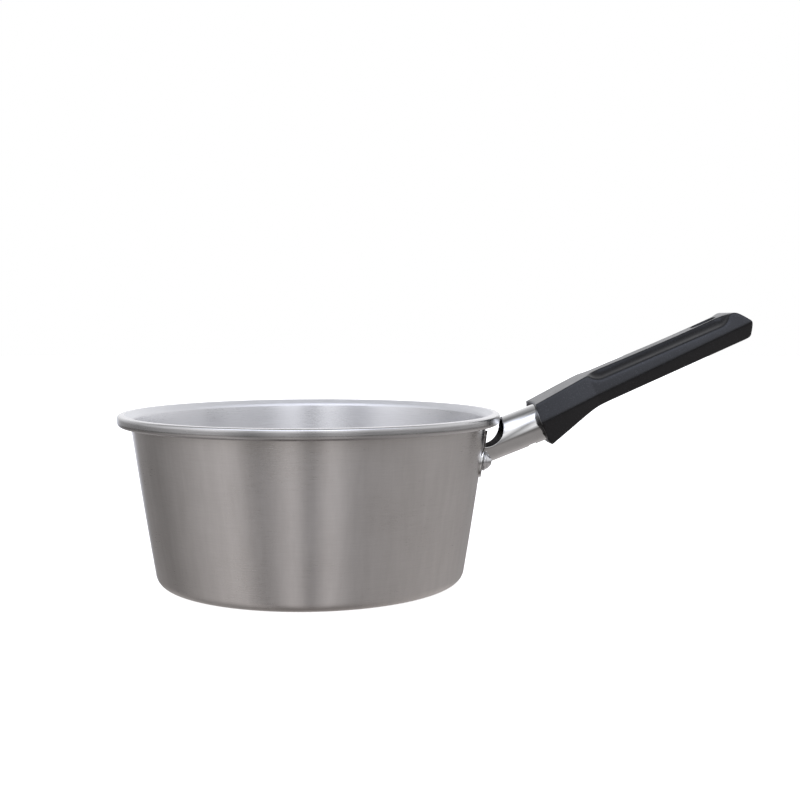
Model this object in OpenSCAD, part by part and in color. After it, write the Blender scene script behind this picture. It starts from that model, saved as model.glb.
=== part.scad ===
// Candle melting pot: a pressed aluminium saucepan with one riveted handle.
// Millimetres, +Z up, handle towards +X, origin at the middle of the underside of the pot.

/* [Pot] */
// Outside diameter over the rolled rim
rim_d = 200; // [194:1:210]
// Overall height of the pot
pot_h = 88.7; // [84:0.1:96]
// How far the rolled rim stands out past the wall below it
rim_overhang = 7; // [6.4:0.1:7.6]
// Outside diameter of the wall where it would meet the floor line
base_d = 160.8; // [154:0.2:168]
// Thickness of the aluminium sheet
sheet_t = 1.2; // [0.8:0.1:1.6]
// Outside radius of the corner between wall and floor
corner_r = 6; // [4:0.5:10]
// Radius of the rolled rim's section
curl_r = 2.9; // [2.6:0.1:3.2]
// How far the wall bulges outward at mid height
wall_bow = 0.34; // [0:0.02:0.6]

/* [Ferrule] */
// Outside diameter of the steel tube
tube_d = 20.4; // [19:0.1:21.5]
// Thickness of the tube and of the ears
steel_t = 1.1; // [0.8:0.1:1.4]
// Rise of the tube above horizontal, in degrees
tube_rise = 21.2; // [19:0.1:23]
// Length of tube held inside the grip
tube_grip_l = 11; // [8:0.5:12]
// Distance of each rivet from the middle plane
rivet_y = 16; // [15.5:0.1:18]
// Height of the rivets above the table
rivet_z = 63.7; // [60:0.1:66]
// Radius of the ear around each rivet
ear_r = 8.7; // [7.6:0.1:9]
// Radius of the scallop that clears the rolled rim
scallop_r = 9.8; // [9:0.1:10.5]

/* [Rivets] */
// Diameter of the rivet shank
rivet_d = 4.8; // [4:0.1:5.2]
// Diameter of the collar of the outer head
rivet_head_d = 10.2; // [9.4:0.1:10.6]

/* [Grip] */
// Rise of the grip above horizontal, in degrees
grip_rise = 24; // [22:0.5:26]
// Half width of the grip at its side crest
grip_half_w = 17.4; // [16.8:0.1:17.8]
// Length of the hanging slot
slot_l = 14; // [12:0.5:16]
// Width of the hanging slot
slot_w = 7.5; // [5:0.5:8.5]

/* [Screw] */
// Thread diameter of the screw that holds the grip
screw_d = 5; // [4:0.5:5]
// Distance of the screw from the front of the grip
screw_s = 20; // [18:0.5:22]

/* [Hidden] */
$fn = 64;

far = 60;                          // reach of cutters that only have to pass through
past = 1;                          // how far a cutter runs past the face it opens
fit = 0.1;                         // radial clearance between pieces that slide together

neck_r = rim_d / 2 - rim_overhang; // radius of the wall just under the rolled rim
curl_z = pot_h - curl_r;           // height of the rolled rim's centre
curl_x = rim_d / 2 - curl_r;       // radius of the rolled rim's centre line
neck_z = pot_h - 2 * curl_r;       // height where the wall meets the rolled rim
wall_lean = atan((neck_r - base_d / 2) / neck_z);
flare = 58;                        // lean of the short flare that leads into the curl
curl_turn = 285;                   // how far the curl rolls round
bend_r = 2.5;                        // centre-line radius of the bend between wall and flare
corner_steps = 8;
wall_steps = 8;
bend_steps = 4;
curl_steps = 24;

tube_r = tube_d / 2;
bore_r = tube_r - steel_t;
grip_x = rim_d / 2 + 20;           // where the tube's axis enters the grip
grip_z = pot_h - 7.3;
scallop_x = rim_d / 2 - 7.8;       // middle of the scallop that clears the rolled rim
scallop_z = pot_h - 9.1;
tab_y = 12;                        // tabs that run up the wall from the ears to the rim
tab_r = 3.2;
tab_z = pot_h - 12.9;              // middle of each tab's round top
tube_back_l = 36;                  // reach of the tube from the grip's front back to the pot
drain_u = -7.3;                    // start, length and width of the slot under the tube
drain_l = 4.6;
drain_w = 9;

tang_t = 2.5;                      // thickness of the steel tongue
tang_w = 10;
tang_start = -23;                  // the tongue lies on the tube's floor from here
tang_bend = -13;                   // to here, then cranks up to the tube's axis
tang_crank = 30;
tang_end = 32;                     // how far the tongue reaches into the grip
tang_gap = 1.2;                    // height of the weld under the tongue
tang_floor = -bore_r + tang_gap + tang_t / 2;

collar_h = 1.4;                    // outer rivet head: a flat collar with a dome on it
head_dome_h = 3;
head_step = 0.75;                  // how far the dome stands in from the collar's edge
tail_gap = 0.15;                   // the inner rivet head stands this far off the wall
tail_dome_d = rivet_head_d - 0.9;
tail_dome_h = 1.8;
head_lap = 0.5;                    // how far the shank runs into each head

washer_t = 1;
washer_d = 10;
washer_play = 0.2;                 // radial play of the washer on the screw
screw_head_h = 2.6;
screw_head_d = 9;
screw_seat_t = -4.4;               // where the washer sits, measured across the grip
screw_tip_t = 4.2;
screw_hole_play = 0.25;
seat_d = washer_d + 0.8;           // pocket for the washer and the screw's head
driver_w = 1.2;                    // slot for a flat screwdriver
driver_h = 1.4;

top_half_w = 10.6;                 // half width of the grip's sections at their top
// Sections of the grip: [along, how far the crest stands in, how far the top stands out, crest height]
front_section = [-3, 0, 1.4, 1.2];
shoulder_section = [18, 0.6, 1, 1.8];
waist_section = [34.5, 2.2, 0, 2.2];
tip_section = [134, 2.4, 0, 3.9];
slice_skin = 0.01;                 // thickness of the slices that the grip is stretched between
front_dish_r = 62;                 // the front face is hollowed by a cylinder of this radius
front_dish_s = 3;                  // that reaches this far in at the middle
front_dish_tilt = 3.3;             // and leans towards the tip, in degrees
slice_top_t = 17;                  // heights that the sections run between
slice_low_t = -16;
undercut = 0.72;                   // inward run of the lower facets per millimetre down

flute_r = 8.55;                    // radius of the thumb flutes and where their axes lie
flute_y = 13;
flute_t = 17.9;
flute_from = 44;
flute_to = 110;
flute_dip = 0.8;                   // how much the flutes fall towards the tip, in degrees
slot_s = 105.9;                    // middle of the hanging slot along the grip

// Outside radius of the wall at height z
function wall_r(z) =
    let (k = z / neck_z)
    base_d / 2 + (neck_r - base_d / 2) * k + wall_bow * 4 * k * (1 - k);

// A centre-line point of the sheet: place and the direction of the sheet's outer side
function on_arc(centre, r, phi) = [centre.x + r * cos(phi), centre.y + r * sin(phi), phi];
function off_arc(centre, r, phi) = [centre.x - r * cos(phi), centre.y - r * sin(phi), phi];
function spread(from, to, steps) = [for (i = [0:steps]) from + (to - from) * i / steps];

// Closed outline of a sheet of thickness t along a centre line
function sheet_outline(path, t) = concat(
    [for (p = path) [p.x, p.y] + t / 2 * [cos(p.z), sin(p.z)]],
    [for (i = [len(path) - 1:-1:0]) let (p = path[i]) [p.x, p.y] - t / 2 * [cos(p.z), sin(p.z)]]
);

// Outline with each corner [x, y, radius] replaced by an arc of that radius
function rounded(corners, steps = 6) = [
    for (i = [0:len(corners) - 1])
        let (
            n = len(corners),
            c = [corners[i].x, corners[i].y],
            a = [corners[(i + n - 1) % n].x, corners[(i + n - 1) % n].y] - c,
            b = [corners[(i + 1) % n].x, corners[(i + 1) % n].y] - c,
            ua = a / norm(a),
            ub = b / norm(b),
            half = acos(ua * ub) / 2,
            r = corners[i].z,
            mid = (ua + ub) / norm(ua + ub),
            centre = c + mid * r / sin(half),
            start = c + ua * r / tan(half) - centre,
            turn = sign(ua.x * ub.y - ua.y * ub.x) * (180 - 2 * half)
        )
        for (k = [0:r > 0 ? steps : 0])
            let (w = -turn * k / steps)
            r > 0
                ? centre + [start.x * cos(w) - start.y * sin(w), start.x * sin(w) + start.y * cos(w)]
                : c
];

wall_zs = spread(corner_r * (1 - sin(wall_lean)), neck_z, wall_steps);
corner_c = [wall_r(wall_zs[0]) - corner_r * cos(wall_lean), corner_r];
curl_c = [curl_x, curl_z];
curl_mid_r = curl_r - sheet_t / 2;
curl_start = off_arc(curl_c, curl_mid_r, -flare);
wall_top = [
    neck_r - sheet_t / 2 * cos(wall_lean),
    neck_z + sheet_t / 2 * sin(wall_lean)
];
// Length of the flare from the curl down to the wall's line, then to where the bend starts
flare_reach = (
    (curl_start.x - wall_top.x) * cos(wall_lean) - (curl_start.y - wall_top.y) * sin(wall_lean)
) / sin(flare - wall_lean);
flare_l = flare_reach - bend_r * tan((flare - wall_lean) / 2);
bend_c = [
    curl_start.x - flare_l * sin(flare) + bend_r * cos(flare),
    curl_start.y - flare_l * cos(flare) - bend_r * sin(flare)
];
pot_path = concat(
    [[0, sheet_t / 2, -90]],
    [for (phi = spread(-90, -wall_lean, corner_steps)) on_arc(corner_c, corner_r - sheet_t / 2, phi)],
    [for (i = [1:wall_steps - 1]) [
        wall_r(wall_zs[i]) - sheet_t / 2 * cos(wall_lean),
        wall_zs[i] + sheet_t / 2 * sin(wall_lean),
        -wall_lean
    ]],
    [for (phi = spread(-wall_lean, -flare, bend_steps)) off_arc(bend_c, bend_r, phi)],
    [for (phi = spread(-flare, -flare - curl_turn, curl_steps)) off_arc(curl_c, curl_mid_r, phi)]
);

// Moves from the pot's frame to the tube's: x along the tube, z across it
module along_tube() {
    translate([grip_x, 0, grip_z]) rotate([0, -tube_rise, 0]) children();
}

// Moves from the pot's frame to the grip's: x along the grip, z across it
module along_grip() {
    translate([grip_x, 0, grip_z]) rotate([0, -grip_rise, 0]) children();
}

// A cylinder along x from one place to another
module rod_x(r, from, to) {
    translate([from, 0, 0]) rotate([0, 90, 0]) cylinder(r = r, h = to - from);
}

// Moves to a rivet: z points out of the wall, zero is the wall's outer face
module at_rivet(side) {
    r = wall_r(rivet_z);
    rotate([0, 0, side * asin(rivet_y / r)])
        translate([r, 0, rivet_z])
            rotate([0, 90 + wall_lean, 0])
                children();
}

// A button with a domed top
module dome(d, h) {
    ball_r = (d * d / 4 + h * h) / (2 * h);
    intersection() {
        translate([0, 0, h - ball_r]) sphere(r = ball_r);
        cylinder(d = d + past, h = h + past);
    }
}

// Hole of a rivet through the wall and the ear
module rivet_hole(side) {
    at_rivet(side) translate([0, 0, -rivet_d]) cylinder(d = rivet_d + 2 * fit, h = 3 * rivet_d);
}

module pot_body() {
    color([0.72, 0.71, 0.7])
    difference() {
        rotate_extrude($fn = 128) polygon(sheet_outline(pot_path, sheet_t));
        for (side = [-1, 1]) rivet_hole(side);
    }
}

// Everything within the wall's outer face, made dist larger
module wall_solid(dist) {
    rotate_extrude($fn = 128)
        polygon(concat(
            [[0, wall_zs[0]]],
            [for (z = wall_zs) [wall_r(z) + dist / cos(wall_lean), z]],
            [[0, neck_z]]
        ));
}

// The two ears with their tabs and the strip that joins them, seen along x
module ear_outline() {
    blend = 30;                    // where the tab's outer edge meets the ear's arc
    for (side = [-1, 1]) {
        translate([side * rivet_y, rivet_z]) circle(r = ear_r);
        translate([side * tab_y, tab_z]) circle(r = tab_r);
        polygon([
            [side * (tab_y - tab_r), rivet_z],
            [side * (tab_y - tab_r), tab_z],
            [side * (tab_y + tab_r), tab_z],
            [side * (rivet_y + ear_r * sin(blend)), rivet_z + ear_r * cos(blend)],
            [side * rivet_y, rivet_z]
        ]);
    }
    translate([-rivet_y, rivet_z - ear_r]) square([2 * rivet_y, 2 * ear_r]);
}

// Scallop seen along y: round at the bottom, open at the top
module scallop() {
    translate([scallop_x, far / 2, scallop_z])
        rotate([90, 0, 0])
            linear_extrude(far) {
                circle(r = scallop_r);
                translate([-scallop_r, 0]) square([2 * scallop_r, far]);
            }
}

module ferrule_bracket() {
    color([0.8, 0.81, 0.83])
    difference() {
        union() {
            intersection() {
                wall_solid(steel_t);
                translate([far, 0, 0]) rotate([90, 0, 90]) linear_extrude(far) ear_outline();
            }
            difference() {
                along_tube() rod_x(tube_r, -tube_back_l, tube_grip_l);
                scallop();
            }
        }
        wall_solid(0);
        along_tube() rod_x(bore_r, -far, far);
        along_tube()
            translate([drain_u, -drain_w / 2, -tube_r - past])
                cube([drain_l, drain_w, steel_t + 2 * past]);
        for (side = [-1, 1]) rivet_hole(side);
    }
}

// Side view of the tongue: welded to the tube's floor, then cranked up to the tube's axis
module tang_outline() {
    run = -tang_floor / tan(tang_crank);
    polygon(sheet_outline([
        [tang_start, tang_floor, -90],
        [tang_bend, tang_floor, -90 + tang_crank / 2],
        [tang_bend + run, 0, -90 + tang_crank / 2],
        [tang_end, 0, -90]
    ], tang_t));
}

module grip_tang() {
    color([0.55, 0.55, 0.56])
    difference() {
        along_tube()
            translate([0, tang_w / 2, 0]) rotate([90, 0, 0]) linear_extrude(tang_w) tang_outline();
        along_grip()
            translate([screw_s, 0, -far / 2]) cylinder(d = screw_d + fit, h = far);
    }
}

// Outer head, shank through ear and wall, and the smaller head inside the pot
module rivet(side) {
    tail_t = -sheet_t - tail_gap;
    color([0.85, 0.85, 0.86])
    at_rivet(side) {
        translate([0, 0, tail_t - head_lap])
            cylinder(d = rivet_d, h = steel_t - tail_t + 2 * head_lap);
        translate([0, 0, steel_t]) cylinder(d = rivet_head_d, h = collar_h);
        translate([0, 0, steel_t + collar_h]) dome(rivet_head_d - 2 * head_step, head_dome_h);
        translate([0, 0, tail_t]) mirror([0, 0, 1]) dome(tail_dome_d, tail_dome_h);
    }
}

module rivet_front() {
    rivet(-1);
}

module rivet_rear() {
    rivet(1);
}

// Side view of the grip; each corner is [along, across, rounding]
module grip_side() {
    polygon(rounded([
        [0.5, 11.0, 2],
        [36, 13.7, 12],
        [86, 12.2, 60],
        [120.9, 12.3, 6],
        [126.7, 3.9, 3],
        [124.5, -4.4, 2.5],
        [32.4, -3.85, 8],
        [3.4, -13.4, 0.8],
        [1.2, -9.3, 1]
    ]));
}

// One cross-section of the grip: the sides lean out to a crest, then cut under
module grip_slice(section) {
    crest_half = grip_half_w - section[1];
    top_half = top_half_w + section[2];
    crest_t = section[3];
    low_half = crest_half - (crest_t - slice_low_t) * undercut;
    translate([section[0], 0, 0])
        rotate([90, 0, 90])
            linear_extrude(slice_skin)
                polygon([
                    [-top_half, slice_top_t], [-crest_half, crest_t], [-low_half, slice_low_t],
                    [low_half, slice_low_t], [crest_half, crest_t], [top_half, slice_top_t]
                ]);
}

module grip_blank() {
    intersection() {
        union() {
            hull() {
                grip_slice(front_section);
                grip_slice(shoulder_section);
            }
            hull() {
                grip_slice(shoulder_section);
                grip_slice(waist_section);
            }
            hull() {
                grip_slice(waist_section);
                grip_slice(tip_section);
            }
        }
        translate([0, far / 2, 0]) rotate([90, 0, 0]) linear_extrude(far) grip_side();
    }
}

// Round-ended scoop along one upper edge of the grip
module thumb_flute(side) {
    translate([flute_from, side * flute_y, flute_t])
        rotate([0, flute_dip, 0]) {
            rod_x(flute_r, 0, flute_to - flute_from);
            sphere(r = flute_r);
            translate([flute_to - flute_from, 0, 0]) sphere(r = flute_r);
        }
}

// Hollow of the front face, round the ferrule
module front_dish() {
    translate([front_dish_s, 0, 0])
        rotate([0, front_dish_tilt, 0])
            translate([-front_dish_r, 0, 0]) cylinder(r = front_dish_r, h = 2 * far, center = true);
}

module hanging_slot() {
    straight = slot_l - slot_w;
    translate([slot_s, 0, -far / 2])
        linear_extrude(far) {
            for (side = [-1, 1])
                translate([side * straight / 2, 0]) circle(d = slot_w);
            translate([-straight / 2, -slot_w / 2]) square([straight, slot_w]);
        }
}

module handle_grip() {
    color([0.13, 0.13, 0.14])
    difference() {
        along_grip() grip_blank();
        along_grip() {
            for (side = [-1, 1]) thumb_flute(side);
            front_dish();
            hanging_slot();
            translate([screw_s, 0, screw_seat_t - past])
                cylinder(d = screw_d + 2 * screw_hole_play, h = screw_tip_t - screw_seat_t + 2 * past);
            translate([screw_s, 0, screw_seat_t - far]) cylinder(d = seat_d, h = far);
        }
        along_tube() {
            rod_x(tube_r + fit, -far, tube_grip_l + fit);
            translate([0, -tang_w / 2 - fit, -tang_t / 2 - fit])
                cube([tang_end + past, tang_w + 2 * fit, tang_t + 2 * fit]);
        }
    }
}

module grip_screw() {
    head_t = screw_seat_t - washer_t;
    color([0.7, 0.7, 0.7])
    along_grip()
        translate([screw_s, 0, head_t])
            difference() {
                union() {
                    translate([0, 0, -head_lap])
                        cylinder(d = screw_d, h = screw_tip_t - head_t + head_lap);
                    mirror([0, 0, 1]) dome(screw_head_d, screw_head_h);
                }
                translate([-far / 2, -driver_w / 2, -screw_head_h - past])
                    cube([far, driver_w, driver_h + past]);
            }
}

module screw_washer() {
    color([0.75, 0.75, 0.76])
    along_grip()
        translate([screw_s, 0, screw_seat_t - washer_t])
            difference() {
                cylinder(d = washer_d, h = washer_t);
                translate([0, 0, -past])
                    cylinder(d = screw_d + 2 * washer_play, h = washer_t + 2 * past);
            }
}

pot_body();
ferrule_bracket();
grip_tang();
rivet_front();
rivet_rear();
handle_grip();
grip_screw();
screw_washer();
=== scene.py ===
"""Looks of the candle melting pot: a pressed aluminium saucepan with a riveted ferrule and a dark grip.

Lengths in the shape functions are millimetres, as in the CAD source; meshes are scaled to metres when made.
"""
import math

import bmesh
import bpy
import numpy as np
from mathutils import Matrix, Vector


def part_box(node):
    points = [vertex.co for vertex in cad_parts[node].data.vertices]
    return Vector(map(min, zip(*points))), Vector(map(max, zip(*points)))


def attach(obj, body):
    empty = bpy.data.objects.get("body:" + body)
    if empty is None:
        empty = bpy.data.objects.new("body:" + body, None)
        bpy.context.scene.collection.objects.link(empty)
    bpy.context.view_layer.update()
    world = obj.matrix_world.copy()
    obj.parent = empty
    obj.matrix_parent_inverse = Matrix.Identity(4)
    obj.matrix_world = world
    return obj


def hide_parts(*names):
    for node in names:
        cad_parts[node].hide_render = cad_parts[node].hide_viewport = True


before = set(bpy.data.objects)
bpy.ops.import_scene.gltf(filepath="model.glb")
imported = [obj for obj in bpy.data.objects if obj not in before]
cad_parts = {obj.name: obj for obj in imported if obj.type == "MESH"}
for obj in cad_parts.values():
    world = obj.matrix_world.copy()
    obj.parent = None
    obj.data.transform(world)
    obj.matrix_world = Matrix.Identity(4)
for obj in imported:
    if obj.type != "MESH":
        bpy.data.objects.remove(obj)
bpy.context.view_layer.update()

MM = 0.001


def highest_mm(node):
    """Highest corner of a CAD node's box in millimetres."""
    return [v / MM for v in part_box(node)[1]]


# ---------------------------------------------------------------- driving dimensions, millimetres

POT_HIGH = highest_mm("pot_body")
HANDLE_X = POT_HIGH[0]  # the handle's places are measured from the rim
RIM_R = POT_HIGH[1]     # a little less than the nominal radius, to stay inside the CAD's facets
POT_H = POT_HIGH[2]
RIM_OVERHANG = 7
BASE_R = 80.4
SHEET_T = 1.2
CORNER_R = 6
CURL_R = 2.9
WALL_BOW = 0.34
FLARE = math.radians(58)
CURL_TURN = math.radians(285)
CURL_STEPS = 90
ROLL_SQUARE = 2.2       # how much squarer than a circle the roll is pressed
BEND_R = 2.5            # centre-line radius of the bend between wall and flare
FLARE_DEPTH = 3.3       # the satin finish reaches this far down inside the rim

TUBE_R = 10.2
STEEL_T = 1.1
TUBE_RISE = math.radians(21.2)
TUBE_GRIP_L = 11
TUBE_BACK_L = 36
RIVET_Y = 16
RIVET_Z = POT_H - 25
EAR_R = 8.7
TAB_Y = 12
TAB_R = 3.2
TAB_Z = POT_H - 12.9
SCALLOP_R = 9.8
SCALLOP_X = HANDLE_X - 7.8
SCALLOP_Z = POT_H - 9.1
DRAIN_FROM = -7.3
DRAIN_L = 4.6
DRAIN_W = 9

RIVET_R = 2.4
COLLAR_R = 5.1
COLLAR_H = 1.4
HEAD_STEP = 0.75
HEAD_DOME_H = 3.0
TAIL_R = 4.65
TAIL_H = 1.8
TAIL_GAP = 0.15

GRIP_X = HANDLE_X + 20
GRIP_Z = POT_H - 7.3
GRIP_RISE = math.radians(24)
GRIP_HALF_W = 17.4
SLOT_S = 105.9
SLOT_L = 14
SLOT_W = 7.5
SCREW_S = 20
SEAT_T = -4.4
SEAT_R = 5.4
FIT = 0.1

NECK_R = RIM_R - RIM_OVERHANG
NECK_Z = POT_H - 2 * CURL_R
CURL_C = (RIM_R - CURL_R, POT_H - CURL_R)
WALL_LEAN = math.atan((NECK_R - BASE_R) / NECK_Z)


def wall_r(z):
    """Outside radius of the pot's wall at height z."""
    k = z / NECK_Z
    return BASE_R + (NECK_R - BASE_R) * k + WALL_BOW * 4 * k * (1 - k)


# ---------------------------------------------------------------- mesh helpers


def mesh_object(name, verts, faces, materials=(), face_material=None, place=None):
    """A smooth-shaded mesh object from millimetre vertices, moved by place and scaled to metres."""
    points = np.asarray(verts, float)
    if place is not None:
        rot = np.array(place.to_3x3())
        points = points @ rot.T + np.array(place.translation)
    mesh = bpy.data.meshes.new(name)
    mesh.from_pydata((points * MM).tolist(), [], faces)
    for mat in materials:
        mesh.materials.append(mat)
    if face_material is not None:
        mesh.polygons.foreach_set("material_index", face_material)
    mesh.polygons.foreach_set("use_smooth", [True] * len(mesh.polygons))
    mesh.update()
    obj = bpy.data.objects.new(name, mesh)
    bpy.context.scene.collection.objects.link(obj)
    return obj


def lathe(name, chain, materials, tags=None, segments=256, place=None):
    """Turns a chain of (radius, height) points about Z. Points on the axis become poles."""
    verts, rings = [], []
    for r, z in chain:
        if r < 1e-6:
            rings.append([len(verts)])
            verts.append((0, 0, z))
        else:
            first = len(verts)
            rings.append(list(range(first, first + segments)))
            for i in range(segments):
                a = 2 * math.pi * i / segments
                verts.append((r * math.cos(a), r * math.sin(a), z))
    faces, face_tags = [], []
    for k in range(len(rings) - 1):
        low, high = rings[k], rings[k + 1]
        for i in range(segments):
            j = (i + 1) % segments
            if len(low) == 1:
                face = (low[0], high[j], high[i])
            elif len(high) == 1:
                face = (low[i], low[j], high[0])
            else:
                face = (low[i], low[j], high[j], high[i])
            faces.append(face)
            face_tags.append(tags[k] if tags else 0)
    return mesh_object(name, verts, faces, materials, face_tags, place)


def grid_solid(name, rows, materials, place=None):
    """A closed solid from rows of points: the first and last rows are single poles."""
    verts = np.concatenate(rows)
    starts = np.cumsum([0] + [len(r) for r in rows])
    count = len(rows[1])
    faces = []
    for k in range(len(rows) - 1):
        a, b = starts[k], starts[k + 1]
        for i in range(count):
            j = (i + 1) % count
            if len(rows[k]) == 1:
                faces.append((a, b + i, b + j))
            elif len(rows[k + 1]) == 1:
                faces.append((a + j, a + i, b))
            else:
                faces.append((a + i, b + i, b + j, a + j))
    faces = [tuple(int(v) for v in face) for face in faces]
    return mesh_object(name, verts, faces, materials, None, place)


def prism(name, outline, low, high, place):
    """A straight prism between two heights, used only as a cutter or a blank."""
    n = len(outline)
    verts = [(x, y, low) for x, y in outline] + [(x, y, high) for x, y in outline]
    faces = [tuple(range(n))[::-1], tuple(range(n, 2 * n))]
    faces += [(i, (i + 1) % n, n + (i + 1) % n, n + i) for i in range(n)]
    return mesh_object(name, verts, faces, (), None, place)


def circle(r, centre=(0, 0), steps=128, start=0.0, turn=2 * math.pi):
    """Points of an arc, the last one left out on a full turn."""
    last = steps if turn >= 2 * math.pi - 1e-9 else steps + 1
    angles = [start + turn * i / steps for i in range(last)]
    return [(centre[0] + r * math.cos(a), centre[1] + r * math.sin(a)) for a in angles]


def apply_modifiers(obj):
    """Turns the object's modifiers into mesh."""
    bpy.context.view_layer.update()
    graph = bpy.context.evaluated_depsgraph_get()
    mesh = bpy.data.meshes.new_from_object(obj.evaluated_get(graph))
    old = obj.data
    obj.modifiers.clear()
    obj.data = mesh
    bpy.data.meshes.remove(old)


def cut(obj, tool, operation="DIFFERENCE"):
    """Applies one boolean and deletes its tool."""
    mod = obj.modifiers.new("cut", "BOOLEAN")
    mod.operation = operation
    mod.solver = "MANIFOLD"
    mod.object = tool
    apply_modifiers(obj)
    mesh = tool.data
    bpy.data.objects.remove(tool)
    bpy.data.meshes.remove(mesh)


def frame_at(x, z, rise):
    """Placement whose x axis runs along the handle's rise from the point (x, 0, z)."""
    return Matrix.Translation((x, 0, z)) @ Matrix.Rotation(-rise, 4, "Y")


ALONG_TUBE = frame_at(GRIP_X, GRIP_Z, TUBE_RISE)
ALONG_GRIP = frame_at(GRIP_X, GRIP_Z, GRIP_RISE)
UP_TO_X = Matrix.Rotation(math.pi / 2, 4, "Y")        # a prism's height runs along x
UP_TO_MINUS_Y = Matrix.Rotation(math.pi / 2, 4, "X")  # a prism's height runs along -y


# ---------------------------------------------------------------- materials


def feed(tree, socket, value):
    """Links a node's output into a socket, or sets the socket to a plain value."""
    if isinstance(value, bpy.types.NodeSocket):
        tree.links.new(value, socket)
    else:
        socket.default_value = value


class Nodes:
    """Short hand for building one material's node tree."""

    def __init__(self, name):
        self.mat = bpy.data.materials.new(name)
        self.mat.use_nodes = True
        self.tree = self.mat.node_tree
        self.shader = self.tree.nodes["Principled BSDF"]

    def add(self, kind, links=None, **settings):
        node = self.tree.nodes.new(kind)
        for key, value in settings.items():
            setattr(node, key, value)
        for key, value in (links or {}).items():
            feed(self.tree, node.inputs[key], value)
        return node

    def set(self, **values):
        for key, value in values.items():
            feed(self.tree, self.shader.inputs[key.replace("_", " ")], value)

    def place(self, scale):
        """Object coordinates times a scale per axis, in features per metre."""
        coords = self.add("ShaderNodeTexCoord")
        return self.add(
            "ShaderNodeVectorMath", {0: coords.outputs["Object"], 1: scale}, operation="MULTIPLY"
        ).outputs["Vector"]

    def noise(self, scale, detail=4.0, roughness=0.5, distortion=0.0):
        node = self.add(
            "ShaderNodeTexNoise",
            {"Vector": self.place(scale), "Scale": 1.0, "Detail": detail, "Roughness": roughness,
             "Distortion": distortion},
        )
        return node.outputs["Fac"]

    def span(self, value, low, high, from_low=0.3, from_high=0.7):
        """Maps a noise value onto a range."""
        return self.add(
            "ShaderNodeMapRange",
            {"Value": value, "From Min": from_low, "From Max": from_high, "To Min": low, "To Max": high},
        ).outputs["Result"]

    def math(self, operation, a, b=0.0):
        return self.add("ShaderNodeMath", {0: a, 1: b}, operation=operation).outputs["Value"]

    def mix(self, fac, low, high):
        node = self.add("ShaderNodeMix", data_type="RGBA")
        for index, value in ((0, fac), (6, low), (7, high)):
            feed(self.tree, node.inputs[index], (*value, 1) if isinstance(value, tuple) else value)
        return node.outputs[2]

    def bump(self, height, distance, strength=1.0, after=None):
        links = {"Height": height, "Distance": distance, "Strength": strength}
        if after is not None:
            links["Normal"] = after
        return self.add("ShaderNodeBump", links).outputs["Normal"]


def brushed_aluminium():
    """Outside of the wall: fine level grain from spinning, with soft upright streaks."""
    n = Nodes("aluminium_brushed")
    grain = n.noise((160, 160, 5200), detail=6, roughness=0.65)
    coarse = n.noise((60, 60, 1500), detail=3)
    streaks = n.noise((230, 230, 6), detail=4, roughness=0.65)
    blotch = n.noise((26, 26, 30), detail=3)
    tone = n.math("ADD", n.math("MULTIPLY", grain, 0.3), n.math("MULTIPLY", coarse, 0.15))
    tone = n.math("ADD", tone, n.math("MULTIPLY", streaks, 0.45))
    tone = n.math("ADD", tone, n.math("MULTIPLY", blotch, 0.1))
    colour = n.mix(n.span(tone, 0, 1, 0.38, 0.62), (0.655, 0.63, 0.612), (0.735, 0.708, 0.69))
    rough = n.math("ADD", n.span(grain, 0.27, 0.33), n.span(blotch, -0.02, 0.02))
    tangent = n.add("ShaderNodeTangent", direction_type="RADIAL", axis="Z").outputs["Tangent"]
    n.set(
        Base_Color=colour, Metallic=1.0, Roughness=rough, Anisotropic=0.9, Anisotropic_Rotation=0.25,
        Tangent=tangent, Normal=n.bump(grain, 0.00002, 0.35),
    )
    return n.mat


def polished_aluminium():
    """The rolled rim: buffed bright, with faint wear along it."""
    n = Nodes("aluminium_polished")
    scuffs = n.noise((90, 90, 2600), detail=5, roughness=0.6)
    blotch = n.noise((45, 45, 60), detail=4)
    colour = n.mix(n.span(scuffs, 0, 1), (0.54, 0.535, 0.535), (0.64, 0.635, 0.635))
    rough = n.math("ADD", n.span(scuffs, 0.19, 0.27), n.span(blotch, -0.03, 0.04))
    n.set(Base_Color=colour, Metallic=1.0, Roughness=rough, Normal=n.bump(scuffs, 0.00001, 0.25))
    return n.mat


def inner_aluminium():
    """Inside of the pot: brighter and smoother than the outside, with turning marks."""
    n = Nodes("aluminium_inside")
    grain = n.noise((120, 120, 4200), detail=5, roughness=0.6)
    blotch = n.noise((30, 30, 34), detail=4)
    colour = n.mix(n.span(grain, 0, 1), (0.62, 0.62, 0.635), (0.70, 0.70, 0.715))
    rough = n.math("ADD", n.span(grain, 0.26, 0.34), n.span(blotch, -0.03, 0.03))
    tangent = n.add("ShaderNodeTangent", direction_type="RADIAL", axis="Z").outputs["Tangent"]
    n.set(
        Base_Color=colour, Metallic=1.0, Roughness=rough, Anisotropic=0.6, Anisotropic_Rotation=0.25,
        Tangent=tangent, Normal=n.bump(grain, 0.00002, 0.3),
    )
    return n.mat


def satin_aluminium():
    """The flare and the top of the roll: duller than the inside, from handling and scouring."""
    n = Nodes("aluminium_satin")
    grain = n.noise((140, 140, 3600), detail=5, roughness=0.6)
    blotch = n.noise((40, 40, 44), detail=4)
    colour = n.mix(n.span(grain, 0, 1), (0.74, 0.74, 0.75), (0.82, 0.82, 0.83))
    rough = n.math("ADD", n.span(grain, 0.52, 0.62), n.span(blotch, -0.04, 0.04))
    n.set(Base_Color=colour, Metallic=1.0, Roughness=rough, Normal=n.bump(grain, 0.00002, 0.25))
    return n.mat


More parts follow.
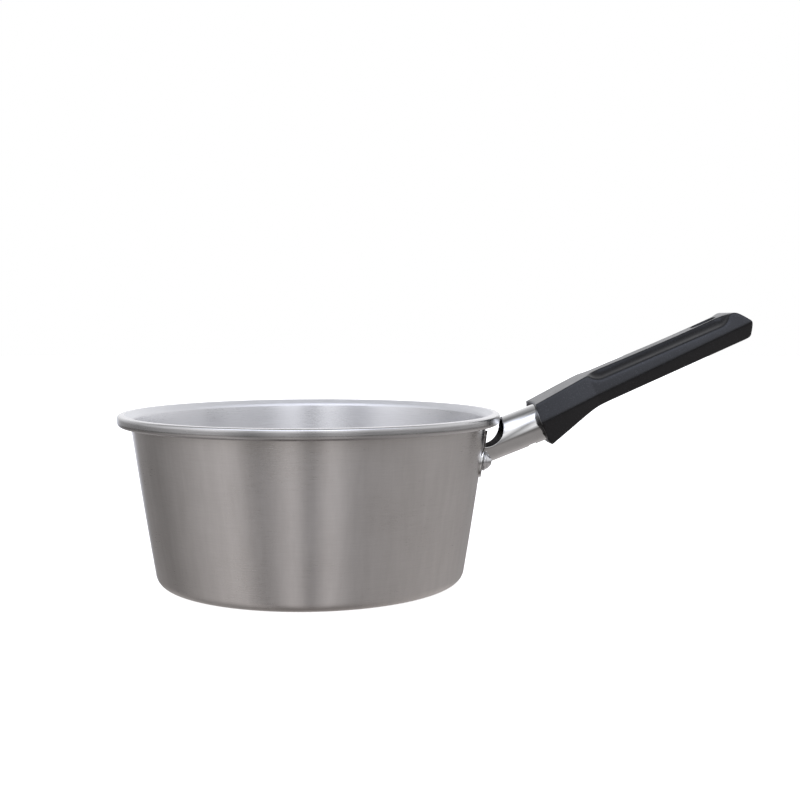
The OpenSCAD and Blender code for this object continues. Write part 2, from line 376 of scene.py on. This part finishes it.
def ferrule_chrome():
    """Bright plated steel with light handling marks."""
    n = Nodes("ferrule_chrome")
    marks = n.noise((900, 260, 260), detail=5, roughness=0.6)
    haze = n.noise((110, 110, 110), detail=4)
    colour = n.mix(n.span(haze, 0, 1), (0.62, 0.62, 0.615), (0.72, 0.72, 0.715))
    rough = n.math("ADD", n.span(marks, 0.06, 0.1), n.span(haze, 0.0, 0.05))
    n.set(Base_Color=colour, Metallic=1.0, Roughness=rough, Normal=n.bump(marks, 0.000008, 0.2))
    return n.mat


def rivet_aluminium():
    """Set aluminium rivets: bright, slightly dimpled by the tool."""
    n = Nodes("rivet_aluminium")
    dimples = n.noise((700, 700, 700), detail=3)
    colour = n.mix(n.span(dimples, 0, 1), (0.68, 0.68, 0.69), (0.78, 0.78, 0.79))
    n.set(
        Base_Color=colour, Metallic=1.0, Roughness=n.span(dimples, 0.2, 0.3),
        Normal=n.bump(dimples, 0.00003, 0.4),
    )
    return n.mat


def bright_steel(name, low, high):
    """Zinc-plated or bare steel hardware."""
    n = Nodes(name)
    grain = n.noise((800, 800, 800), detail=5, roughness=0.65)
    colour = n.mix(n.span(grain, 0, 1), low, high)
    n.set(
        Base_Color=colour, Metallic=1.0, Roughness=n.span(grain, 0.3, 0.45),
        Normal=n.bump(grain, 0.00002, 0.4),
    )
    return n.mat


def grip_phenolic():
    """Moulded black phenolic: fine stipple, pale dust specks and a slight sheen."""
    n = Nodes("grip_phenolic")
    stipple = n.noise((2400, 2400, 2400), detail=3, roughness=0.7)
    mould = n.noise((380, 380, 380), detail=4, roughness=0.6)
    wear = n.noise((45, 45, 45), detail=3)
    speck = n.span(n.noise((1500, 1500, 1500), detail=2, roughness=0.8), 0, 1, 0.56, 0.72)
    base = n.mix(n.span(mould, 0, 1), (0.002, 0.0016, 0.0015), (0.0045, 0.0038, 0.0036))
    colour = n.mix(speck, base, (0.03, 0.031, 0.036))
    rough = n.math("ADD", n.span(stipple, 0.27, 0.38), n.span(wear, -0.03, 0.04))
    normal = n.bump(mould, 0.00006, 0.35, after=n.bump(stipple, 0.00004, 0.5))
    n.set(
        Base_Color=colour, Roughness=rough, Specular_IOR_Level=0.5,
        Specular_Tint=(0.9, 0.93, 1, 1), Normal=normal,
    )
    return n.mat


def grip_front_painted_shade():
    """Painted shade for the moulding's front face: a rough copy of the grip's material with little sheen, so
    that it stays as dark as the shade there.
    """
    n = Nodes("grip_front_painted_shade")
    mould = n.noise((600, 600, 600), detail=4, roughness=0.6)
    colour = n.mix(n.span(mould, 0, 1), (0.003, 0.0026, 0.0025), (0.007, 0.006, 0.006))
    n.set(
        Base_Color=colour, Roughness=n.span(mould, 0.7, 0.85), Specular_IOR_Level=0.15,
        Normal=n.bump(mould, 0.00005, 0.4),
    )
    return n.mat


BRUSHED = brushed_aluminium()
POLISHED = polished_aluminium()
INSIDE = inner_aluminium()
SATIN = satin_aluminium()
CHROME = ferrule_chrome()
RIVET = rivet_aluminium()
GRIP = grip_phenolic()
# a dull copy of the grip's material that paints shade on its front face
GRIP_FRONT_PAINTED_SHADE = grip_front_painted_shade()
# near-black steel that paints the shade inside the ferrule's tube
BORE_PAINTED_SHADE = bright_steel("ferrule_bore_painted_shade", (0.05, 0.049, 0.05), (0.10, 0.098, 0.10))
TANG = bright_steel("tang_steel", (0.42, 0.41, 0.40), (0.56, 0.55, 0.54))
SCREW = bright_steel("screw_steel", (0.60, 0.60, 0.59), (0.72, 0.72, 0.71))


# ---------------------------------------------------------------- pot


def pot_path():
    """Centre line of the sheet: (radius, height, direction of its outer side), floor to curl."""
    corner_top = CORNER_R * (1 - math.sin(WALL_LEAN))
    corner_c = (wall_r(corner_top) - CORNER_R * math.cos(WALL_LEAN), CORNER_R)
    mid_r = CURL_R - SHEET_T / 2
    start = (CURL_C[0] - mid_r * math.cos(FLARE), CURL_C[1] + mid_r * math.sin(FLARE))
    top = (NECK_R - SHEET_T / 2 * math.cos(WALL_LEAN), NECK_Z + SHEET_T / 2 * math.sin(WALL_LEAN))
    reach = (
        (start[0] - top[0]) * math.cos(WALL_LEAN) - (start[1] - top[1]) * math.sin(WALL_LEAN)
    ) / math.sin(FLARE - WALL_LEAN)
    flare_l = reach - BEND_R * math.tan((FLARE - WALL_LEAN) / 2)
    bend_c = (
        start[0] - flare_l * math.sin(FLARE) + BEND_R * math.cos(FLARE),
        start[1] - flare_l * math.cos(FLARE) - BEND_R * math.sin(FLARE),
    )
    path = [(r, SHEET_T / 2, -math.pi / 2) for r in np.linspace(0, corner_c[0], 24)[:-1]]
    for phi in np.linspace(-math.pi / 2, -WALL_LEAN, 14):
        r = CORNER_R - SHEET_T / 2
        path.append((corner_c[0] + r * math.cos(phi), corner_c[1] + r * math.sin(phi), phi))
    for z in np.linspace(corner_top, NECK_Z, 41)[1:-1]:
        path.append((
            wall_r(z) - SHEET_T / 2 * math.cos(WALL_LEAN), z + SHEET_T / 2 * math.sin(WALL_LEAN), -WALL_LEAN
        ))
    for phi in np.linspace(-WALL_LEAN, -FLARE, 8):
        path.append((bend_c[0] - BEND_R * math.cos(phi), bend_c[1] - BEND_R * math.sin(phi), phi))
    for phi in np.linspace(-FLARE, -FLARE - CURL_TURN, CURL_STEPS + 1):
        path.append((CURL_C[0] - mid_r * math.cos(phi), CURL_C[1] - mid_r * math.sin(phi), phi))
    return path


def fade(value, start, end):
    """Nought at start, one at end and a straight ramp between."""
    return min(1, max(0, (value - start) / (end - start)))


def roll_point(phi):
    """A point on the roll's outside, which is pressed a little square at its top and outer corners."""
    turn = phi + math.pi
    w = math.degrees(turn)
    upper = fade(w, 105, 75) * fade(w, -20, 10)
    lower = fade(w, 10, -20) * fade(w, -120, -70)
    square = 2 + ROLL_SQUARE * upper + 0.4 * ROLL_SQUARE * lower
    c, s = math.cos(turn), math.sin(turn)
    reach = CURL_R / (abs(c) ** square + abs(s) ** square) ** (1 / square)
    return CURL_C[0] + reach * c, CURL_C[1] + reach * s


def make_pot():
    path = pot_path()
    half = SHEET_T / 2
    outer = [(r + half * math.cos(a), z + half * math.sin(a)) for r, z, a in path]
    inner = [(r - half * math.cos(a), z - half * math.sin(a)) for r, z, a in path]
    curl_from = len(path) - CURL_STEPS - 1
    inner[curl_from:] = [roll_point(a) for _, _, a in path[curl_from:]]
    r, z, a = path[-1]
    turns = np.linspace(0, -math.pi, 9)[1:-1]
    edge = [(r + half * math.cos(a + w), z + half * math.sin(a + w)) for w in turns]
    chain = outer + edge + inner[::-1]
    polished_to = len(chain) - curl_from - 1
    tags = []
    for k in range(len(chain) - 1):
        if k < len(outer):
            tags.append(0)
        elif k < polished_to and not (chain[k][0] < CURL_C[0] - 0.5 and chain[k][1] > CURL_C[1]):
            tags.append(1)
        elif chain[k][1] > POT_H - FLARE_DEPTH:
            tags.append(3)
        else:
            tags.append(2)
    return lathe("pot_shell", chain, (BRUSHED, POLISHED, INSIDE, SATIN), tags, segments=320)


# ---------------------------------------------------------------- ferrule and rivets


def wall_shell(name, gap, low, high, steps=24, segments=512):
    """Everything within the wall's outer face, made larger by gap."""
    chain = [(0, low)]
    chain += [(wall_r(z) + gap / math.cos(WALL_LEAN), z) for z in np.linspace(low, high, steps)]
    chain += [(0, high)]
    return lathe(name, chain, (), None, segments)


def ear_outline():
    """The two ears, their tabs and the strip between them, as (y, z) points."""
    right = circle(EAR_R, (RIVET_Y, RIVET_Z), 40, -math.pi / 2, math.radians(150))
    right += circle(TAB_R, (TAB_Y, TAB_Z), 24, math.radians(8), math.radians(172))
    right += circle(1.5, (TAB_Y - TAB_R - 1.5, RIVET_Z + EAR_R + 1.5), 8, 0, -math.pi / 2)
    left = [(-y, z) for y, z in right][::-1]
    return right + left


def rod(name, r, low, high, place, steps=256):
    return prism(name, circle(r, (0, 0), steps), low, high, place @ UP_TO_X)


def make_ferrule():
    plate = wall_shell("ferrule", STEEL_T, 50, NECK_Z, 40)
    # the outline's (y, z) become the prism's plane, and its height runs along x
    facing = Matrix(((0, 0, 1, 0), (1, 0, 0, 0), (0, 1, 0, 0), (0, 0, 0, 1)))
    cut(plate, prism("ears", ear_outline(), 50, 110, facing), "INTERSECT")
    tube = rod("tube", TUBE_R, -TUBE_BACK_L, TUBE_GRIP_L, ALONG_TUBE)
    mouth = circle(SCALLOP_R, (0, 0), 128, math.pi, math.pi) + [(SCALLOP_R, 60), (-SCALLOP_R, 60)]
    cut(tube, prism("scallop", mouth, -30, 30, Matrix.Translation((SCALLOP_X, 0, SCALLOP_Z)) @ UP_TO_MINUS_Y))
    cut(plate, tube, "UNION")
    cut(plate, wall_shell("wall", 0, 40, NECK_Z + 5, 48))
    cut(plate, rod("bore", TUBE_R - STEEL_T, -60, 60, ALONG_TUBE))
    drain = [
        (DRAIN_FROM, -DRAIN_W / 2), (DRAIN_FROM + DRAIN_L, -DRAIN_W / 2),
        (DRAIN_FROM + DRAIN_L, DRAIN_W / 2), (DRAIN_FROM, DRAIN_W / 2),
    ]
    cut(plate, prism("drain", drain, -TUBE_R - 2, -TUBE_R + STEEL_T + 1, ALONG_TUBE))
    plate.data.materials.clear()
    plate.data.materials.append(CHROME)
    round_edges(plate, 0.22)
    paint_bore_shade(plate)
    return plate


def paint_bore_shade(ferrule):
    """Paints shade inside the tube: its inner faces get a dark, dull steel that stands in for the shade
    there.
    """
    ferrule.data.materials.append(BORE_PAINTED_SHADE)
    to_tube = ALONG_TUBE.inverted()
    for face in ferrule.data.polygons:
        spot = to_tube @ (face.center / MM)
        if math.hypot(spot.y, spot.z) < TUBE_R - 0.7 * STEEL_T and spot.x > -TUBE_BACK_L:
            face.material_index = 1


def round_edges(obj, width, angle=38):
    """Small rounded edges with smooth shading between them."""
    mesh = obj.data
    bm = bmesh.new()
    bm.from_mesh(mesh)
    bmesh.ops.remove_doubles(bm, verts=bm.verts, dist=0.01 * MM)
    bmesh.ops.dissolve_limit(
        bm, angle_limit=math.radians(0.05), use_dissolve_boundaries=False, verts=bm.verts, edges=bm.edges
    )
    bm.to_mesh(mesh)
    bm.free()
    bevel = obj.modifiers.new("round", "BEVEL")
    bevel.width = width * MM
    bevel.segments = 3
    bevel.limit_method = "ANGLE"
    bevel.angle_limit = math.radians(angle)
    bevel.use_clamp_overlap = True
    apply_modifiers(obj)
    obj.data.polygons.foreach_set("use_smooth", [True] * len(obj.data.polygons))
    obj.data.set_sharp_from_angle(angle=math.radians(angle))


def at_rivet(side):
    """Placement with z out of the wall at a rivet and zero on the wall's outer face."""
    r = wall_r(RIVET_Z)
    return (
        Matrix.Rotation(side * math.asin(RIVET_Y / r), 4, "Z")
        @ Matrix.Translation((r, 0, RIVET_Z))
        @ Matrix.Rotation(math.pi / 2 + WALL_LEAN, 4, "Y")
    )


def dome_arc(r, h, base, steps, edge=0.3):
    """(radius, height) points of a dome of base radius r, from its rounded edge to its top."""
    ball = (r * r + h * h) / (2 * h)
    reach = math.asin(min(1, (r - edge * 0.4) / ball))
    arc = [(ball * math.sin(w), base + h - ball + ball * math.cos(w)) for w in np.linspace(reach, 0, steps)]
    arc[-1] = (0, base + h)
    return arc


def make_rivet(name, side):
    face = STEEL_T
    collar_edge = [
        (COLLAR_R - 0.35 + 0.35 * math.sin(w), face + COLLAR_H - 0.35 + 0.35 * math.cos(w))
        for w in np.linspace(math.pi / 2, 0, 6)
    ]
    tail = -SHEET_T - TAIL_GAP
    tail_dome = [(r, tail - h) for r, h in dome_arc(TAIL_R, TAIL_H, 0, 20)]
    chain = tail_dome[::-1] + [(TAIL_R, tail), (RIVET_R, tail), (RIVET_R, face)]
    chain += [(COLLAR_R, face)] + collar_edge
    chain += dome_arc(COLLAR_R - HEAD_STEP, HEAD_DOME_H, face + COLLAR_H, 24)
    return lathe(name, chain, (RIVET,), None, 96, at_rivet(side))


# ---------------------------------------------------------------- grip

# s runs along the grip, t across it and y to its side
WAIST_S = 34.5
TIP_S = 134
REAR_TOP_S = 60       # the top edge is straight here, and its rear corner comes after it
WAIST_IN = 2.2        # how much the crest comes in from the front to the waist
TIP_IN = 0.2          # and from there to the tip
TOP_HALF_W = 10.6
TOP_IN = 1.4          # how much the top comes in from the front to the waist
SLICE_TOP_T = 17      # height at which the half width of the top is given
CREST_T = ((-3, 1.2), (WAIST_S, 2.2), (TIP_S, 3.9))
UNDERCUT = 0.72       # inward run of the lower facets per millimetre down
DISH_R = 62
DISH_S = 3
DISH_TILT = math.radians(3.3)
FLUTE_R = 8.55
FLUTE_Y = 13
FLUTE_T = 17.9
FLUTE_FROM = 42
FLUTE_TO = 110
FLUTE_DIP = math.radians(0.8)
TOP_LINE = ((0.5, 11.0), (36, 13.7), (86, 12.2), (120.9, 12.3))
TIP_LINE = ((120.9, 12.3), (126.7, 3.9), (124.5, -4.4))
LOW_LINE = ((124.5, -4.4), (32.4, -3.85))
CHIN_LINE = ((32.4, -3.85), (3.4, -13.4))
FRONT_LINE = ((3.4, -13.4), (1.2, -9.3), (0.5, 11.0))


def soft_max(values, k):
    """Largest of several distances, blended over about k millimetres."""
    top = np.maximum.reduce(values)
    return top + k * np.log(sum(np.exp((v - top) / k) for v in values))


def half_plane(s, t, a, b):
    """Signed distance to the line a-b, positive on the outer side of a clockwise outline."""
    ds, dt = b[0] - a[0], b[1] - a[1]
    return ((t - a[1]) * ds - (s - a[0]) * dt) / math.hypot(ds, dt)


def grip_field(s, y, t):
    """Signed distance-like field of the grip, negative inside."""
    y = np.abs(y)
    taper = 1 - np.clip(s / WAIST_S, 0, 1) ** 2
    back = np.clip((s - WAIST_S) / (TIP_S - WAIST_S), 0, 1)
    crest_t = np.interp(s, *zip(*CREST_T))
    crest_y = GRIP_HALF_W - WAIST_IN * (1 - taper) - TIP_IN * back
    top_y = TOP_HALF_W + TOP_IN * taper
    lean = (crest_y - top_y) / (SLICE_TOP_T - crest_t)
    side = (y - crest_y + lean * (t - crest_t)) / np.sqrt(1 + lean**2)
    under = (y - crest_y + UNDERCUT * (crest_t - t)) / math.hypot(1, UNDERCUT)
    top = soft_max([half_plane(s, t, TOP_LINE[i], TOP_LINE[i + 1]) for i in range(2)], 0.3)
    rear_top = half_plane(s, t, TOP_LINE[2], TOP_LINE[3])
    top = np.where(s > REAR_TOP_S, -soft_max([-top, -rear_top], 0.3), top)
    low = -soft_max([-half_plane(s, t, *LOW_LINE), -half_plane(s, t, *CHIN_LINE)], 0.8)
    chamfer = half_plane(s, t, TIP_LINE[0], TIP_LINE[1])
    end = half_plane(s, t, TIP_LINE[1], TIP_LINE[2])
    heel = half_plane(s, t, FRONT_LINE[0], FRONT_LINE[1])
    front = half_plane(s, t, FRONT_LINE[1], FRONT_LINE[2])
    dish = DISH_R - np.hypot(s - DISH_S - t * math.tan(DISH_TILT) + DISH_R, y)
    outline = soft_max([soft_max([top, chamfer], 1.1), soft_max([low, end], 0.85)], 0.45)
    body = soft_max([outline, heel, front, dish, side, under], 0.28)
    axis_s = np.clip(s, FLUTE_FROM, FLUTE_TO)
    axis_t = FLUTE_T - (axis_s - FLUTE_FROM) * math.sin(FLUTE_DIP)
    flute = FLUTE_R - np.sqrt((s - axis_s) ** 2 + (y - FLUTE_Y) ** 2 + (t - axis_t) ** 2)
    blend = 0.22 + 0.5 * np.clip((y - 9) / 3, 0, 1)  # softer along the flute's lower edge
    return soft_max([body, flute], blend)


def grip_rows(columns=288, body_rows=200, end_rows=34):
    """Points on the grip's skin, found along rays from a line inside it."""
    line_from, line_to = 9.0, 117.0
    angles = np.linspace(0, 2 * math.pi, columns, endpoint=False)
    origins, directions = [], []

    def add_row(s, tilt):
        t = float(np.interp(s, (0, 36, 130), (0.5, 4.2, 4.0)))
        count = 1 if abs(tilt) > math.pi / 2 - 1e-6 else columns
        w = angles[:count]
        origins.append(np.tile((s, 0.0, t), (count, 1)))
        flat = math.cos(tilt)
        directions.append(np.stack([
            np.full(count, math.sin(tilt)), flat * np.cos(w), flat * np.sin(w)
        ], -1))

    for k in range(end_rows):
        add_row(line_from, -math.pi / 2 * (1 - k / end_rows))
    for s in np.linspace(line_from, line_to, body_rows):
        add_row(s, 0.0)
    for k in range(1, end_rows + 1):
        add_row(line_to, math.pi / 2 * k / end_rows)
    sizes = [len(o) for o in origins]
    start, way = np.concatenate(origins), np.concatenate(directions)
    near, far = np.zeros(len(start)), np.full(len(start), 45.0)
    for _ in range(40):
        mid = (near + far) / 2
        point = start + way * mid[:, None]
        inside = grip_field(point[:, 0], point[:, 1], point[:, 2]) < 0
        near, far = np.where(inside, mid, near), np.where(inside, far, mid)
    points = start + way * ((near + far) / 2)[:, None]
    return np.split(round_slot_mouth(points), np.cumsum(sizes)[:-1])


def round_slot_mouth(points, r=0.6):
    """Sinks the skin around the hanging slot so that its mouth is rounded."""
    straight = (SLOT_L - SLOT_W) / 2
    ds = np.maximum(np.abs(points[:, 0] - SLOT_S) - straight, 0)
    away = np.clip(np.hypot(ds, points[:, 1]) - SLOT_W / 2, 0, r)
    sink = r - np.sqrt(np.maximum(r * r - (r - away) ** 2, 0))
    points[:, 2] -= np.sign(points[:, 2] - 4) * sink
    return points


def make_grip():
    grip = grid_solid("grip_shell", grip_rows(), (GRIP,), ALONG_GRIP)
    straight = (SLOT_L - SLOT_W) / 2
    slot = circle(SLOT_W / 2, (straight, 0), 48, -math.pi / 2, math.pi)
    slot += circle(SLOT_W / 2, (-straight, 0), 48, math.pi / 2, math.pi)
    cut(grip, prism("slot", slot, -30, 30, ALONG_GRIP @ Matrix.Translation((SLOT_S, 0, 0))))
    seat = circle(SEAT_R, (SCREW_S, 0), 96)
    cut(grip, prism("seat", seat, -40, SEAT_T, ALONG_GRIP))
    cut(grip, rod("socket", TUBE_R + FIT, -40, TUBE_GRIP_L + FIT, ALONG_TUBE))
    grip.data.polygons.foreach_set("use_smooth", [True] * len(grip.data.polygons))
    grip.data.set_sharp_from_angle(angle=math.radians(50))
    grip.data.materials.clear()
    grip.data.materials.append(GRIP)
    # the second material paints shade on the faces that look forward
    grip.data.materials.append(GRIP_FRONT_PAINTED_SHADE)
    forward = ALONG_GRIP.to_3x3() @ Vector((-1, 0, 0))
    for face in grip.data.polygons:
        face.material_index = 1 if face.normal.dot(forward) > 0.85 else 0
    return grip


# ---------------------------------------------------------------- pieces on the frame


def stand_for(piece, node):
    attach(piece, "root")
    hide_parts(node)


stand_for(make_pot(), "pot_body")
stand_for(make_ferrule(), "ferrule_bracket")
stand_for(make_rivet("rivet_near", -1), "rivet_front")
stand_for(make_rivet("rivet_far", 1), "rivet_rear")
stand_for(make_grip(), "handle_grip")
for node, mat in (("grip_tang", TANG), ("grip_screw", SCREW), ("screw_washer", SCREW)):
    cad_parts[node].material_slots[0].material = mat


# ---------------------------------------------------------------- stage, light and camera


def make_floor():
    floor = prism("floor", circle(4000, (0, 0), 64), -2, -0.05, Matrix.Identity(4))
    n = Nodes("floor_pale")
    grain = n.noise((40, 40, 40), detail=2)
    n.set(
        Base_Color=n.mix(grain, (0.80, 0.80, 0.80), (0.82, 0.82, 0.82)), Roughness=0.9,
        Emission_Color=(1, 1, 1, 1), Emission_Strength=0.86,
    )
    floor.data.materials.append(n.mat)
    floor.visible_glossy = False
    floor.visible_diffuse = False


def angle_ramp(tree, angle, stops, low, high):
    """Brightness through (degrees, level) or (degrees, level, tint) stops, halved to stay under one."""
    span = tree.nodes.new("ShaderNodeMapRange")
    span.inputs["From Min"].default_value = math.radians(low)
    span.inputs["From Max"].default_value = math.radians(high)
    tree.links.new(angle, span.inputs["Value"])
    ramp = tree.nodes.new("ShaderNodeValToRGB")
    marks = ramp.color_ramp.elements
    while len(marks) < len(stops):
        marks.new(0.5)
    for mark, (degrees, level, *tint) in zip(marks, stops):
        mark.position = (degrees - low) / (high - low)
        mark.color = (*[level / 2 * t for t in (tint[0] if tint else (1, 1, 1))], 1)
    tree.links.new(span.outputs["Result"], ramp.inputs["Fac"])
    return ramp.outputs["Color"]


WARM = (1.035, 0.985, 0.975)
COOL = (0.99, 0.992, 1.018)
BLUE = (0.90, 0.95, 1.12)
BROWN = (1.25, 0.93, 0.82)

# the room by height above the horizon: a dim warm table below and pale walls above
HEIGHT = (
    (-90, 0.05, BROWN), (-60, 0.3, WARM), (-30, 0.4, WARM), (-10, 0.15, WARM),
    (5, 0.8, COOL), (20, 0.9, COOL), (60, 0.4, COOL), (90, 0.3, COOL),
)
# and by direction, from the camera's side to the right: three soft lights and a pale wall behind
ROUND = (
    (-180, 1.5), (-120, 0.6), (-55, 1.5), (-35, 0.6), (-12, 1.5),
    (0, 0.5), (12, 1.5), (30, 0.8), (180, 1.5),
)
# a wide soft box overhead, on the camera's side
BOX_HEIGHT = ((0, 0), (25, 0, BLUE), (45, 1.8, BLUE), (60, 1.8, BLUE), (75, 0), (90, 0))
BOX_ROUND = ((-180, 0), (-100, 0), (-50, 0.9), (20, 0.9), (90, 0), (180, 0))
# a low soft box behind the object
BACK_HEIGHT = ((-90, 0), (-15, 0), (-5, 1.0, BLUE), (5, 0), (90, 0))
BACK_ROUND = ((-180, 0.7), (-160, 0.7), (-150, 0), (175, 0), (180, 0.7))


def make_world():
    """White to the camera, and a soft studio to everything that reflects it or is lit by it."""
    world = bpy.data.worlds.new("studio")
    bpy.context.scene.world = world
    world.use_nodes = True
    tree = world.node_tree

    def math_node(operation, a, b=0.0):
        node = tree.nodes.new("ShaderNodeMath")
        node.operation = operation
        feed(tree, node.inputs[0], a)
        feed(tree, node.inputs[1], b)
        return node.outputs[0]

    def colour(blend, a, b):
        node = tree.nodes.new("ShaderNodeMix")
        node.data_type = "RGBA"
        node.blend_type = blend
        node.clamp_result = False
        for index, value in ((0, 1.0), (6, a), (7, b)):
            feed(tree, node.inputs[index], value)
        return node.outputs[2]

    def part(heights, lowest, rounds):
        across = angle_ramp(tree, height, heights, lowest, 90)
        return colour("MULTIPLY", across, angle_ramp(tree, around, rounds, -180, 180))

    coords = tree.nodes.new("ShaderNodeTexCoord")
    split = tree.nodes.new("ShaderNodeSeparateXYZ")
    tree.links.new(coords.outputs["Generated"], split.inputs[0])
    x, y, z = split.outputs
    around = math_node("ARCTAN2", x, math_node("MULTIPLY", y, -1.0))
    height = math_node("ARCSINE", z)
    walls = part(HEIGHT, -90, ROUND)
    box = part(BOX_HEIGHT, 0, BOX_ROUND)
    back = part(BACK_HEIGHT, -90, BACK_ROUND)
    room = tree.nodes["Background"]
    room.inputs["Strength"].default_value = 4.0  # the two halved ramps are multiplied
    tree.links.new(colour("ADD", colour("ADD", walls, box), back), room.inputs["Color"])
    white = tree.nodes.new("ShaderNodeBackground")
    white.inputs["Color"].default_value = (1, 1, 1, 1)
    seen = tree.nodes.new("ShaderNodeLightPath")
    mix = tree.nodes.new("ShaderNodeMixShader")
    tree.links.new(seen.outputs["Is Camera Ray"], mix.inputs["Fac"])
    tree.links.new(room.outputs["Background"], mix.inputs[1])
    tree.links.new(white.outputs["Background"], mix.inputs[2])
    tree.links.new(mix.outputs["Shader"], tree.nodes["World Output"].inputs["Surface"])


def make_fill_light():
    """A soft square light above the camera and to its right."""
    side = 0.7
    level = 0.6  # brightness of the light's face
    here = Vector((0.5, -1.6, 1.4))
    target = Vector((0.05, 0, 0.08))
    data = bpy.data.lights.new("fill", "AREA")
    data.shape = "RECTANGLE"
    data.size = side
    data.size_y = side
    data.energy = level * math.pi * side * side
    data.color = (0.95, 0.97, 1.0)
    light = bpy.data.objects.new("fill", data)
    light.location = here
    light.rotation_euler = (target - here).to_track_quat("-Z", "Y").to_euler()
    light.visible_camera = False
    bpy.context.scene.collection.objects.link(light)


def make_camera():
    """Looks level with the rim from a little above it, 0.62 m in front."""
    data = bpy.data.cameras.new("camera")
    data.sensor_width = 36
    data.lens = 52.66
    camera = bpy.data.objects.new("camera", data)
    camera.location = (0, -0.620, (POT_H + 48.31) * MM)
    camera.rotation_euler = (math.radians(90 - 3.9085), 0, math.radians(-4.3796))
    bpy.context.scene.collection.objects.link(camera)
    bpy.context.scene.camera = camera


make_floor()
make_world()
make_fill_light()
make_camera()
bpy.context.scene.view_settings.view_transform = "Standard"
